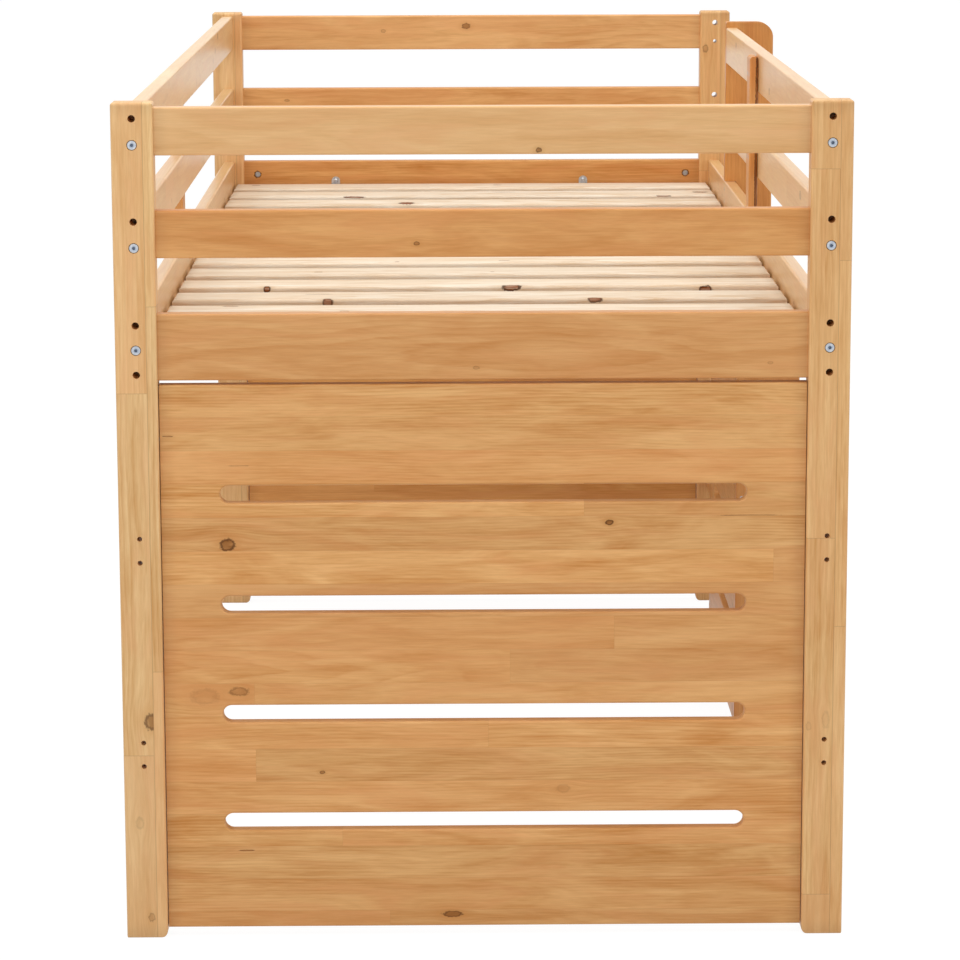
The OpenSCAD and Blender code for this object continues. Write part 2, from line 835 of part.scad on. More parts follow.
module plate_screw_bores() {
    for (x = [plate_left_x, plate_right_x], z = end_plate_zs) {
        bore_y(x, end_in - over, end_in + screw_grip + screw_fit, z, screw_d + screw_fit);
    }
}

module side_plate_screw_bores() {
    x0 = side_in - side_panel_t;
    for (y = side_plate_ys, z = side_plate_zs) {
        bore_x(x0 - over, x0 + screw_grip + screw_fit, y, z, screw_d + screw_fit);
    }
}

module plate_screws() {
    color(ZINC) {
        placed() for (x = [plate_left_x, plate_right_x], z = end_plate_zs) {
            translate([x, end_in - plate_t, z]) rotate([-90, 0, 0]) plate_screw();
        }
        placed() for (y = side_plate_ys, z = side_plate_zs) {
            translate([side_in - side_panel_t - plate_t, y, z]) rotate([0, 90, 0]) plate_screw();
        }
    }
}

// Wood screws
module ledger_screws() {
    color(ZINC) for (side = [-1, 1]) mirrored(side, 1) {
        at_ledger_screws() csk_screw(ledger_t + screw_grip);
    }
}

module upright_screws() {
    color(ZINC) for (side = [-1, 1]) mirrored(side, 1) {
        at_upright_screws(side, upright_screw_zs(side)) csk_screw(upright_t + screw_grip);
    }
}

module ladder_screws() {
    color(ZINC) placed() {
        at_stile_screws() csk_screw(side_t + screw_grip);
        at_side_panel_screws() csk_screw(side_panel_t + screw_grip);
        at_side_stile_screws() csk_screw(stile_t + screw_grip);
    }
}

post(-1, -1);  // post_front_left
post(1, -1);  // post_front_right
post(-1, 1);  // post_back_left
post(1, 1, ladder = true);  // post_back_right
upper_end_rail(-1, top_z);  // front_top_rail
upper_end_rail(-1, mid_z);  // front_mid_rail
low_end_rail(-1);  // front_low_rail
upper_end_rail(1, top_z);  // back_top_rail
upper_end_rail(1, mid_z);  // back_mid_rail
low_end_rail(1);  // back_low_rail
end_panel(-1);  // front_panel
end_panel(1);  // back_panel
side_panel();
side_rail(-1);  // left_side_rail
side_rail(1);  // right_side_rail
guard(-1, top_z);  // left_top_guard
guard(-1, mid_z);  // left_mid_guard
guard(1, top_z);  // right_top_guard
guard(1, mid_z);  // right_mid_guard
upright(-1);  // left_upright
upright(1);  // right_upright
ledger(-1);  // left_ledger
ledger(1);  // right_ledger
slat(1);  // slat_01
slat(2);  // slat_02
slat(3);  // slat_03
slat(4);  // slat_04
slat(5);  // slat_05
slat(6);  // slat_06
slat(7);  // slat_07
slat(8);  // slat_08
slat(9);  // slat_09
slat(10);  // slat_10
slat(11);  // slat_11
slat(12);  // slat_12
slat(13);  // slat_13
slat(14);  // slat_14
slat(15);  // slat_15
side_stile();
ladder_stile();
rung(rung_zs[0]);  // ladder_rung_low
rung(rung_zs[1]);  // ladder_rung_high
rail_bolts(-1);  // rail_bolts_front
rail_bolts(1);  // rail_bolts_back
ladder_bolts();
rail_nuts();
end_bolts(-1);  // end_bolts_front
end_bolts(1);  // end_bolts_back
end_nuts(-1);  // end_nuts_front
end_nuts(1);  // end_nuts_back
end_dowels();
plates_back();
plates_side();
plate_screws();
ledger_screws();
upright_screws();
ladder_screws();
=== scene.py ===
"""A mid sleeper bed in honey-stained pine: its woods and fittings, a pale studio and the camera.

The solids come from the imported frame. Metres: X across the bed, Y along it from the front end to the back,
Z up.
"""

import json
import math
import random

import bpy
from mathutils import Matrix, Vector


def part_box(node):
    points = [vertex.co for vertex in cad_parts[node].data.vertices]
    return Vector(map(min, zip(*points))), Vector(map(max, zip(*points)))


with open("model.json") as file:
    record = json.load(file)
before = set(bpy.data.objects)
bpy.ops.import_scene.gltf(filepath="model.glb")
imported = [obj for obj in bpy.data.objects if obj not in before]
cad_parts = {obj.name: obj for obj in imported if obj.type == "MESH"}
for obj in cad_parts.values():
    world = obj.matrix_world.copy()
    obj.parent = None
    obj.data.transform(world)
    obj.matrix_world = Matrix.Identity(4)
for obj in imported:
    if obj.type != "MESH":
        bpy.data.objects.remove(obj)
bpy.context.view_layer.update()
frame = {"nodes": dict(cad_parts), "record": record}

WHITE = (1.0, 1.0, 1.0, 1.0)


def srgb(red, green, blue):
    """A colour given as the eye sees it, from 0 to 255, in the linear numbers that the shaders take."""
    shares = [c / 255 for c in (red, green, blue)]
    return tuple(c / 12.92 if c <= 0.04045 else ((c + 0.055) / 1.055) ** 2.4 for c in shares) + (1.0,)


class Graph:
    """Adds nodes to a shader tree. An input takes a number, a tuple or another node's output."""

    def __init__(self, tree):
        self.tree = tree

    def feed(self, socket, value):
        if isinstance(value, bpy.types.NodeSocket):
            self.tree.links.new(value, socket)
        else:
            socket.default_value = value

    def node(self, kind, inputs=None, **settings):
        made = self.tree.nodes.new(kind)
        for name, value in settings.items():
            setattr(made, name, value)
        for name, value in (inputs or {}).items():
            self.feed(made.inputs[name], value)
        return made

    def group(self, tree, **inputs):
        named = {name.replace("_", " ").capitalize(): value for name, value in inputs.items()}
        return self.node("ShaderNodeGroup", named, node_tree=tree).outputs

    def math(self, operation, *values, clamp=False):
        return self.node("ShaderNodeMath", dict(enumerate(values)), operation=operation,
                         use_clamp=clamp).outputs[0]

    def add(self, a, b):
        return self.math("ADD", a, b)

    def less(self, a, b):
        return self.math("SUBTRACT", a, b)

    def times(self, *factors):
        product = factors[0]
        for factor in factors[1:]:
            product = self.math("MULTIPLY", product, factor)
        return product

    def vector(self, operation, *values):
        return self.node("ShaderNodeVectorMath", dict(enumerate(values)), operation=operation).outputs[0]

    def split(self, vector):
        return self.node("ShaderNodeSeparateXYZ", {0: vector}).outputs

    def join(self, x, y, z):
        return self.node("ShaderNodeCombineXYZ", {0: x, 1: y, 2: z}).outputs[0]

    def noise(self, vector, stretch, detail=2.0, roughness=0.5, distortion=0.0):
        scaled = self.vector("MULTIPLY", vector, stretch)
        return self.node("ShaderNodeTexNoise", {"Vector": scaled, "Scale": 1.0, "Detail": detail,
                                                "Roughness": roughness, "Distortion": distortion}).outputs

    def random(self, vector):
        return self.node("ShaderNodeTexWhiteNoise", {"Vector": vector}, noise_dimensions="3D").outputs

    def step(self, value, low, high, start=0.0, end=1.0):
        """A soft step from start, where the value is low, to end, where it is high."""
        return self.node("ShaderNodeMapRange", {"Value": value, "From Min": low, "From Max": high,
                                                "To Min": start, "To Max": end},
                         interpolation_type="SMOOTHSTEP").outputs[0]

    def mix(self, factor, a, b, blend="MIX"):
        return self.node("ShaderNodeMix", {0: factor, 6: a, 7: b}, data_type="RGBA",
                         blend_type=blend).outputs[2]


def new_group(name, inputs, outputs):
    """An empty node group with sockets, and the graph and the input sockets to fill it with."""
    tree = bpy.data.node_groups.new(name, "ShaderNodeTree")
    for label, default in inputs.items():
        kind = {float: "NodeSocketFloat", tuple: "NodeSocketVector", list: "NodeSocketColor"}[type(default)]
        tree.interface.new_socket(label, in_out="INPUT", socket_type=kind).default_value = default
    for label, kind in outputs.items():
        tree.interface.new_socket(label, in_out="OUTPUT", socket_type=f"NodeSocket{kind}")
    graph = Graph(tree)
    return tree, graph, graph.node("NodeGroupInput").outputs


# Effects that the woods share. In board coordinates x runs along the grain, y across the face, z through it
def staves_group():
    """Boards glued up from strips, each strip from staves end to end, every stave cut from another tree."""
    tree, g, given = new_group(
        "Glued staves",
        {"Vector": (0.0, 0.0, 0.0), "Strip": 0.046, "Strip start": 0.0, "Stave": 0.6, "Seam": 0.3,
         "Butt": 0.3, "Seed": 0.0},
        {"Vector": "Vector", "Tone": "Float", "Hue": "Float", "Joint": "Float"})
    along, across, _ = g.split(given["Vector"])
    strip = g.math("DIVIDE", g.less(across, given["Strip start"]), given["Strip"])
    strip_no = g.math("FLOOR", strip)
    start = g.random(g.join(strip_no, given["Seed"], 0.5))["Value"]
    stave = g.add(g.math("DIVIDE", along, given["Stave"]), g.times(start, 7.0))
    stave_no = g.math("FLOOR", stave)
    chance = g.split(g.random(g.join(strip_no, stave_no, given["Seed"]))["Color"])
    shift = g.join(g.times(chance[0], 9.0), g.times(chance[1], 0.05), g.times(chance[2], 0.05))
    # Distance in metres from the nearest glue line along and across
    edge_y = g.times(g.math("PINGPONG", strip, 0.5), given["Strip"])
    edge_x = g.times(g.math("PINGPONG", stave, 0.5), given["Stave"])
    seam = g.times(g.step(edge_y, 0.0, 0.0009, 1.0, 0.0), given["Seam"])
    butt = g.times(g.step(edge_x, 0.0, 0.0009, 1.0, 0.0), given["Butt"])
    out = g.node("NodeGroupOutput")
    g.feed(out.inputs["Vector"], g.vector("ADD", given["Vector"], shift))
    g.feed(out.inputs["Tone"], chance[0])
    g.feed(out.inputs["Hue"], chance[2])
    g.feed(out.inputs["Joint"], g.math("MAXIMUM", seam, butt))
    return tree


def knot_group():
    """One knot that the grain bends round, or a check where its stretch is long and its bend is nought. With
    no bend it also draws dark marks of painted shade.

    The masks that come in are kept, so that one mark is placed after another.
    """
    tree, g, given = new_group(
        "Knot",
        {"Vector": (0.0, 0.0, 0.0), "Place": (0.0, 0.0, 0.0), "Radius": 0.01, "Stretch": 1.3, "Dark": 1.0,
         "Swirl": 1.0, "Blind": 0.0, "Low edge": -1.0, "High edge": 1.0, "Bend": (0.0, 0.0, 0.0), "Core": 0.0,
         "Rim": 0.0, "Halo": 0.0},
        {"Bend": "Vector", "Core": "Float", "Rim": "Float", "Halo": "Float"})
    placed = g.vector("SUBTRACT", given["Vector"], given["Place"])
    along, across, through = [g.math("DIVIDE", part, given["Radius"]) for part in g.split(placed)]
    inside = g.times(g.math("GREATER_THAN", g.split(given["Vector"])[1], given["Low edge"]),
                     g.math("LESS_THAN", g.split(given["Vector"])[1], given["High edge"]))
    rough = g.noise(given["Vector"], (230.0, 300.0, 60.0), 3.0)["Fac"]
    square = g.add(g.math("POWER", g.math("DIVIDE", along, given["Stretch"]), 2.0),
                   g.math("POWER", across, 2.0))
    square = g.add(square, g.times(g.math("POWER", through, 2.0), given["Blind"]))
    near = g.add(g.math("SQRT", square), g.times(g.less(rough, 0.5), 0.9))
    pull = g.add(g.math("POWER", g.times(along, 0.2), 2.0), g.math("POWER", g.times(across, 0.42), 2.0))
    pull = g.times(g.math("EXPONENT", g.times(pull, -1.0)), inside, given["Swirl"])
    moved = g.times(across, given["Radius"], pull, -0.8)
    masks = {
        "Core": g.step(near, 0.75, 1.05, 1.0, 0.0),
        "Rim": g.times(g.step(near, 0.55, 0.85), g.step(near, 0.9, 1.2, 1.0, 0.0)),
        "Halo": g.times(g.step(near, 0.8, 2.8, 1.0, 0.0), given["Swirl"]),
    }
    out = g.node("NodeGroupOutput")
    g.feed(out.inputs["Bend"], g.vector("ADD", given["Bend"], g.join(0.0, moved, 0.0)))
    for name, mask in masks.items():
        g.feed(out.inputs[name], g.math("MAXIMUM", given[name], g.times(mask, inside, given["Dark"])))
    return tree


def grain_group():
    """Year rings round a pith that wanders beside the board, with fibres and slow changes of tone."""
    tree, g, given = new_group(
        "Pine grain",
        {"Vector": (0.0, 0.0, 0.0), "Seed": 0.0, "Pith across": 0.0, "Pith below": -0.05, "Ring": 0.0045,
         "Waviness": 0.02},
        {"Late": "Float", "Fibre": "Float", "Streak": "Float", "Band": "Float", "Cloud": "Float",
         "Warmth": "Float"})
    v = g.vector("ADD", given["Vector"], g.join(g.times(given["Seed"], 3.7), 0.0, given["Seed"]))
    _, across, through = g.split(given["Vector"])
    slow = g.split(g.vector("SUBTRACT", g.noise(v, (1.7, 7.0, 7.0), 2.0)["Color"], (0.5, 0.5, 0.5)))
    across = g.add(g.less(across, given["Pith across"]), g.times(slow[0], given["Waviness"]))
    below = g.add(g.less(through, given["Pith below"]), g.times(slow[1], given["Waviness"], 2.0))
    radius = g.math("SQRT", g.add(g.math("POWER", across, 2.0), g.math("POWER", below, 2.0)))
    ragged = g.less(g.noise(v, (9.0, 90.0, 90.0), 3.0)["Fac"], 0.5)
    year = g.math("FRACT", g.add(g.math("DIVIDE", radius, given["Ring"]), g.times(ragged, 1.1)))
    late = g.times(g.math("POWER", year, 2.2), g.step(year, 0.86, 1.0, 1.0, 0.0))
    shown = g.step(g.noise(v, (2.2, 14.0, 14.0), 1.0)["Fac"], 0.3, 0.7, 0.25, 1.0)
    out = g.node("NodeGroupOutput")
    g.feed(out.inputs["Late"], g.times(late, shown))
    cloud = g.noise(v, (5.0, 26.0, 26.0), 3.0, 0.55, 1.1)
    g.feed(out.inputs["Fibre"], g.noise(v, (40.0, 800.0, 800.0), 3.0, 0.6)["Fac"])
    g.feed(out.inputs["Streak"], g.noise(v, (21.0, 360.0, 360.0), 3.0, 0.65)["Fac"])
    g.feed(out.inputs["Band"], g.noise(v, (3.0, 75.0, 75.0), 2.0, 0.5, 0.3)["Fac"])
    g.feed(out.inputs["Cloud"], cloud["Fac"])
    g.feed(out.inputs["Warmth"], g.split(cloud["Color"])[1])
    return tree


def edge_group():
    """Where two faces of a board meet, and how near a board's end is, from its half sizes."""
    tree, g, given = new_group("Painted edge light and end shade",
                               {"Vector": (0.0, 0.0, 0.0), "Half": (1.0, 1.0, 1.0), "Width": 0.004},
                               {"Edge": "Float", "Ends": "Float"})
    deep = g.vector("SUBTRACT", g.vector("ABSOLUTE", given["Vector"]), given["Half"])
    x, y, z = [g.add(g.math("DIVIDE", part, given["Width"]), 1.0) for part in g.split(deep)]
    pairs = [g.math("MINIMUM", x, y), g.math("MINIMUM", y, z), g.math("MINIMUM", x, z)]
    edge = g.math("MAXIMUM", g.math("MAXIMUM", pairs[0], pairs[1]), pairs[2], clamp=True)
    out = g.node("NodeGroupOutput")
    g.feed(out.inputs["Edge"], edge)
    g.feed(out.inputs["Ends"], g.step(g.split(deep)[0], -0.025, 0.0))
    return tree


def board_colour_group():
    """The colour, roughness and relief of a finished board, from its grain and its masks."""
    tree, g, given = new_group(
        "Board colour",
        {"Early": list(srgb(220, 172, 114)), "Late wood": list(srgb(186, 130, 74)),
         "Knot and shade wood": list(srgb(118, 72, 38)), "Rim wood": list(srgb(84, 48, 26)),
         "Warm": list(srgb(214, 152, 104)), "Ring depth": 0.5, "Streak depth": 0.5, "Band depth": 0.5,
         "Cloud depth": 0.5, "Tone depth": 0.1, "Hue depth": 0.2, "Late": 0.0, "Fibre": 0.5, "Streak": 0.5,
         "Band": 0.5, "Cloud": 0.5, "Warmth": 0.5, "Tone": 0.5, "Hue": 0.5, "Joint": 0.0, "Core": 0.0,
         "Rim": 0.0, "Halo": 0.0, "Edge": 0.0, "Ends": 0.0, "End grain": 0.0, "End grain and light": 0.0,
         "Gloss": 0.4},
        {"Color": "Color", "Roughness": "Float", "Height": "Float"})
    # How far the wood has gone from its pale early growth to its dark late growth
    dark = g.add(0.36, g.times(given["Late"], given["Ring depth"]))
    for name in ["Streak", "Band", "Cloud"]:
        dark = g.add(dark, g.times(g.less(given[name], 0.5), given[f"{name} depth"]))
    # End grain darker where its depth is above nought, as on the bare slats; below nought, as on the stained
    # woods, the end faces are lighter, a painted highlight on the lit ends of the slots and the tops of the
    # posts
    dark = g.math("ADD", dark, g.times(given["End grain"], given["End grain and light"]), clamp=True)
    colour = g.mix(dark, given["Early"], given["Late wood"])
    colour = g.mix(g.step(given["Warmth"], 0.42, 0.72, 0.0, 0.45), colour, given["Warm"])
    colour = g.mix(g.times(given["Hue"], given["Hue depth"]), colour, given["Warm"])
    level = g.add(1.0, g.times(g.less(given["Tone"], 0.5), given["Tone depth"]))
    level = g.times(level, g.add(g.times(given["Fibre"], 0.16), 0.92))
    # Painted highlight: edges up to a tenth lighter, standing in for light caught on the rounded edges
    level = g.times(level, g.add(1.0, g.times(given["Edge"], 0.1)))
    # Painted shade: up to 12 per cent darker within 25 mm of a board's ends, standing in for the shade where
    # a board meets the part at its end
    level = g.times(level, g.less(1.0, g.times(given["Ends"], 0.12)))
    colour = g.mix(1.0, colour, g.join(level, level, level), "MULTIPLY")
    colour = g.mix(g.times(given["Joint"], 0.8), colour, given["Rim wood"])
    colour = g.mix(g.times(given["Halo"], 0.35), colour, given["Late wood"])
    # Knot cores and rims, in colours that also draw the dark marks of painted shade
    colour = g.mix(g.times(given["Core"], g.step(given["Streak"], 0.3, 0.6, 0.5, 1.0)), colour,
                   given["Knot and shade wood"])
    colour = g.mix(g.times(given["Rim"], 0.85), colour, given["Rim wood"])
    rough = g.add(given["Gloss"], g.times(g.less(given["Fibre"], 0.5), 0.16))
    rough = g.math("ADD", rough, g.times(given["End grain"], 0.2), clamp=True)
    height = g.add(g.times(given["Late"], 0.4), g.times(given["Fibre"], 0.6))
    height = g.less(height, g.add(given["Joint"], g.times(given["Rim"], 0.8)))
    out = g.node("NodeGroupOutput")
    g.feed(out.inputs["Color"], colour)
    g.feed(out.inputs["Roughness"], rough)
    g.feed(out.inputs["Height"], height)
    return tree


STAVES, KNOT_AND_SHADE, GRAIN = staves_group(), knot_group(), grain_group()
EDGE, BOARD_COLOUR = edge_group(), board_colour_group()

# The row's axes that run along a board's grain, across its face and through it
LENGTHWISE, CROSSWISE, UPRIGHT, FLAT = "YZX", "XZY", "ZXY", "XYZ"

# The share of red, green and blue that a full coat of the stain takes away
STAIN = (0.07, 0.185, 0.3, 0.0)


class Finish:
    """What sets one wood's look apart: its colours, how strongly the grain shows, and its lacquer.

    shine is the specular level, coat the weight of the clear coat, and relief the grain's depth in metres.
    """

    def __init__(self, colours, depths, shine, coat, relief):
        self.colours = colours
        self.depths = depths
        self.shine = shine
        self.coat = coat
        self.relief = relief

    def stained(self, stain_and_light):
        """The colours under so much stain. Less than none bleaches the wood."""
        taken = [1.0 - stain_and_light * share for share in STAIN]
        return {name: tuple(c * t for c, t in zip(colour, taken)) for name, colour in self.colours.items()}


# The panels and the end rails
HONEY = Finish(
    dict(early=srgb(241, 202, 145), late_wood=srgb(197, 138, 68), knot_and_shade_wood=srgb(132, 80, 16),
         rim_wood=srgb(80, 46, 6), warm=srgb(228, 170, 116)),
    dict(ring_depth=0.4, streak_depth=0.85, band_depth=0.75, cloud_depth=1.7, tone_depth=0.13,
         hue_depth=0.5, end_grain_and_light=-0.3, gloss=0.42),
    shine=0.2, coat=0.08, relief=0.0003)
# The back panel: the honey wood made more golden, painted light standing in for the warm light bounced onto
# the panel in the shade under the bed
HONEY_PAINTED_WARM_LIGHT = Finish(
    dict(HONEY.colours, early=srgb(245, 196, 128), late_wood=srgb(205, 138, 62)), HONEY.depths,
    shine=0.2, coat=0.0, relief=0.0003)
# The boards along the sides, whose lacquer shines most
QUIET = Finish(
    HONEY.colours,
    dict(ring_depth=0.3, streak_depth=0.6, band_depth=0.5, cloud_depth=0.7, tone_depth=0.05, hue_depth=0.3,
         end_grain_and_light=0.0, gloss=0.36),
    shine=0.5, coat=0.4, relief=0.0002)
# The front top rail
FINE = Finish(
    HONEY.colours,
    dict(ring_depth=0.3, streak_depth=0.65, band_depth=0.45, cloud_depth=0.8, tone_depth=0.05,
         hue_depth=0.35, end_grain_and_light=-0.3, gloss=0.42),
    shine=0.3, coat=0.2, relief=0.0003)
# The posts and the uprights
QUARTERED = Finish(
    HONEY.colours,
    dict(ring_depth=0.4, streak_depth=0.95, band_depth=0.9, cloud_depth=0.8, tone_depth=0.1, hue_depth=0.6,
         end_grain_and_light=-0.2, gloss=0.42),
    shine=0.3, coat=0.2, relief=0.0003)
# The bare slats and dowels
RAW = Finish(
    dict(early=srgb(246, 238, 222), late_wood=srgb(208, 176, 136), knot_and_shade_wood=srgb(132, 62, 4),
         rim_wood=srgb(60, 28, 2), warm=srgb(240, 219, 192)),
    dict(ring_depth=0.6, streak_depth=1.0, band_depth=0.9, cloud_depth=0.9, tone_depth=0.06, hue_depth=0.2,
         end_grain_and_light=0.2, gloss=0.62),
    shine=0.12, coat=0.0, relief=0.0004)


def board_material(node, axes, finish, seed, stain_and_light=0.5, strip=1.0, strip_start=-0.5, stave=9.0, seam=0.3,
                   butt=0.3, pith=(0.0, -0.05), ring=0.0045, waviness=0.02, knots_and_shades=()):
    """A board's wood, with painted light and shade in its stain, edges, ends and marks: axes says how its
    grain runs, pith how far the tree's middle lies across and below.

    A knot is its place along and across the board in the row's frame, its radius, how far it is drawn out
    along the grain, how dark it is and how far the grain bends round it. It goes through the board, or with
    a seventh number, its place through the board, stays blind at one edge. Dark marks of painted shade are
    given the same way.
    """
    low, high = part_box(node)
    centre, half = (low + high) / 2, (high - low) / 2
    order = ["XYZ".index(axis) for axis in axes]
    material = bpy.data.materials.new(f"pine_{node}")
    material.use_nodes = True
    g = Graph(material.node_tree)
    shader = material.node_tree.nodes["Principled BSDF"]
    coords = g.node("ShaderNodeTexCoord").outputs
    placed = g.split(g.vector("SUBTRACT", coords["Object"], tuple(centre)))
    board = g.join(*[placed[i] for i in order])
    end = g.math("ABSOLUTE", g.split(coords["Normal"])[order[0]])
    glued = g.group(STAVES, vector=board, strip=strip, strip_start=strip_start, stave=stave, seam=seam,
                    butt=butt, seed=float(seed))
    state = dict(bend=(0.0, 0.0, 0.0), core=0.0, rim=0.0, halo=0.0)
    for along, across, radius, stretch, dark, swirl, *blind in knots_and_shades:
        across -= centre[order[1]]
        through = blind[0] - centre[order[2]] if blind else 0.0
        low_edge = math.floor((across - strip_start) / strip) * strip + strip_start
        made = g.group(KNOT_AND_SHADE, vector=board, place=(along - centre[order[0]], across, through), radius=radius,
                       stretch=stretch, dark=dark, swirl=swirl, blind=float(len(blind)), low_edge=low_edge,
                       high_edge=low_edge + strip, **state)
        state = {name: made[name.capitalize()] for name in state}
    flow = g.vector("ADD", glued["Vector"], state.pop("bend"))
    grain = g.group(GRAIN, vector=flow, seed=float(seed), pith_across=pith[0], pith_below=pith[1], ring=ring,
                    waviness=waviness)
    edge = g.group(EDGE, vector=board, half=tuple(half[i] for i in order))
    look = g.group(BOARD_COLOUR, late=grain["Late"], fibre=grain["Fibre"], streak=grain["Streak"],
                   band=grain["Band"], cloud=grain["Cloud"], warmth=grain["Warmth"], tone=glued["Tone"],
                   hue=glued["Hue"], joint=glued["Joint"], edge=edge["Edge"], ends=edge["Ends"],
                   end_grain=g.step(end, 0.55, 0.85), **state, **finish.stained(stain_and_light), **finish.depths)
    bump = g.node("ShaderNodeBump", {"Height": look["Height"], "Strength": 0.5, "Distance": finish.relief})
    for socket, value in {"Base Color": look["Color"], "Roughness": look["Roughness"],
                          "Normal": bump.outputs[0], "Specular IOR Level": finish.shine,
                          "Coat Weight": finish.coat, "Coat Roughness": 0.3}.items():
        g.feed(shader.inputs[socket], value)
    return material


def wear(node, material):
    """The node takes this material all over."""
    mesh = frame["nodes"][node].data
    mesh.materials.clear()
    mesh.materials.append(material)


def chance_knots(rng, node, axes, count, largest=0.006, dark=0.7):
    """Small knot marks at random places on a board, clear of its edges."""
    low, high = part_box(node)
    centre, half = (low + high) / 2, (high - low) / 2
    along, across = ["XYZ".index(axis) for axis in axes[:2]]
    return [(centre[along] + rng.uniform(-0.92, 0.92) * half[along],
             centre[across] + rng.uniform(-0.7, 0.7) * half[across],
             rng.uniform(0.4, 1.0) * largest, rng.uniform(1.0, 2.2), rng.uniform(0.5, 1.0) * dark, 1.0)
            for _ in range(count)]


def head_group():
    """A bolt head's cone and socket, where shade is painted, and its turned rings, from the way to the
    nearest bolt's axis.
    """
    tree, g, given = new_group("Bolt heads", {"Across": 0.0, "Up": 0.0, "Along": 0.0, "Half length": 0.01},
                               {"Socket": "Float", "Cone": "Float", "Turned": "Float"})
    radius = g.math("SQRT", g.add(g.math("POWER", given["Across"], 2.0), g.math("POWER", given["Up"], 2.0)))
    depth = g.less(given["Half length"], given["Along"])
    inner = g.step(radius, 0.0032, 0.0036, 1.0, 0.0)
    out = g.node("NodeGroupOutput")
    g.feed(out.inputs["Socket"], g.times(g.step(depth, 0.0003, 0.0012), inner))
    g.feed(out.inputs["Cone"], inner)
    g.feed(out.inputs["Turned"], g.math("PINGPONG", g.math("DIVIDE", radius, 0.0007), 1.0))
    return tree


HEADS = head_group()


def zinc_material(node=None, axis=0, across=(), up=()):
    """Bright zinc. A node of bolts or nuts along one of the row's axes has turned heads, with painted shade
    in their cones and sockets.

    across and up are the places of its bolts on the other two axes.
    """
    material = bpy.data.materials.new(f"zinc_{node}" if node else "zinc")
    material.use_nodes = True
    g = Graph(material.node_tree)
    shader = material.node_tree.nodes["Principled BSDF"]
    coords = g.node("ShaderNodeTexCoord").outputs["Object"]
    cloud = g.noise(coords, (300.0, 300.0, 300.0), 3.0)["Fac"]
    scratch = g.noise(coords, (2500.0, 900.0, 400.0), 2.0)["Fac"]
    colour = g.mix(g.step(cloud, 0.3, 0.7), srgb(172, 180, 192), srgb(198, 201, 204))
    rough = g.add(0.26, g.times(cloud, 0.2))
    if node:
        low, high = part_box(node)
        parts = g.split(coords)
        offsets = []
        for part, places in zip([parts[1 - axis], parts[2]], [across, up]):
            nearest = 1.0
            for place in places:
                nearest = g.math("MINIMUM", g.math("ABSOLUTE", g.less(part, place)), nearest)
            offsets.append(nearest)
        along = g.math("ABSOLUTE", g.less(parts[axis], (low[axis] + high[axis]) / 2))
        head = g.group(HEADS, across=offsets[0], up=offsets[1], along=along,
                       half_length=(high[axis] - low[axis]) / 2)
        # Painted shade: the middle of each head, inside 3.6 mm, half darkened and the socket darker still,
        # standing in for the shade in its recess; the middle is also rougher
        colour = g.mix(g.times(head["Cone"], 0.5), colour, srgb(124, 142, 164))
        colour = g.mix(head["Socket"], colour, srgb(104, 114, 130))
        rough = g.add(rough, g.times(head["Cone"], 0.2))
        scratch = g.add(scratch, head["Turned"])
    bump = g.node("ShaderNodeBump", {"Height": scratch, "Strength": 0.25, "Distance": 0.0001})
    for socket, value in {"Base Color": colour, "Roughness": rough, "Normal": bump.outputs[0],
                          "Metallic": 1.0}.items():
        g.feed(shader.inputs[socket], value)
    return material


# The strips that the panels are glued up from, and where the tree's middle lies beside the single boards
PANEL_STRIP = 0.046
PANEL_STRIP_START = -0.0335
RAIL_PITHS = [(0.01, -0.04), (-0.02, -0.07), (0.03, -0.03), (0.0, -0.1)]

# Knots and checks that show in the photograph, placed in the row's frame
PANEL_KNOTS = [
    (-0.3686, 0.5497, 0.0085, 1.15, 0.9, 1.0),
    (0.1467, 0.5783, 0.0034, 1.6, 0.95, 1.0),
    (0.337, 0.5872, 0.0006, 60.0, 0.85, 0.0),
    (-0.3558, 0.3458, 0.006, 2.2, 0.42, 1.0),
    (-0.2442, 0.2316, 0.0024, 1.5, 0.8, 1.0),
    (-0.3486, 0.1215, 0.0009, 11.0, 0.8, 0.0),
    (-0.402, 0.339, 0.011, 1.8, 0.1, 1.0),
    (-0.446, 0.6991, 0.0009, 8.0, 0.6, 0.0),
    (-0.3509, 0.6584, 0.0007, 20.0, 0.4, 0.0),
    (-0.0672, 0.0289, 0.0042, 3.2, 0.7, 1.0),
    (0.0848, 0.207, 0.006, 1.6, 0.12, 1.0),
]
POST_KNOTS = {
    "post_front_left": [(0.306, -0.4745, 0.0095, 1.2, 0.7, 1.0), (0.1636, -0.4932, 0.006, 1.4, 0.14, 1.0),
                        (0.0293, -0.4794, 0.0045, 1.4, 0.35, 1.0)],
    "post_front_right": [(0.295, 0.4184, 0.004, 1.6, 0.12, 1.0), (0.3045, 0.4416, 0.005, 2.4, 0.12, 1.0)],
}
RAIL_KNOTS = {
    "front_top_rail": [(0.0513, 1.0825, 0.0032, 1.3, 0.8, 1.0)],
    "front_mid_rail": [(-0.111, 0.9585, 0.0026, 1.6, 0.7, 1.0)],
    "back_top_rail": [(-0.0327, 1.121, 0.0052, 1.5, 0.6, 1.0), (-0.19, 1.112, 0.0034, 1.4, 0.25, 1.0)],
}
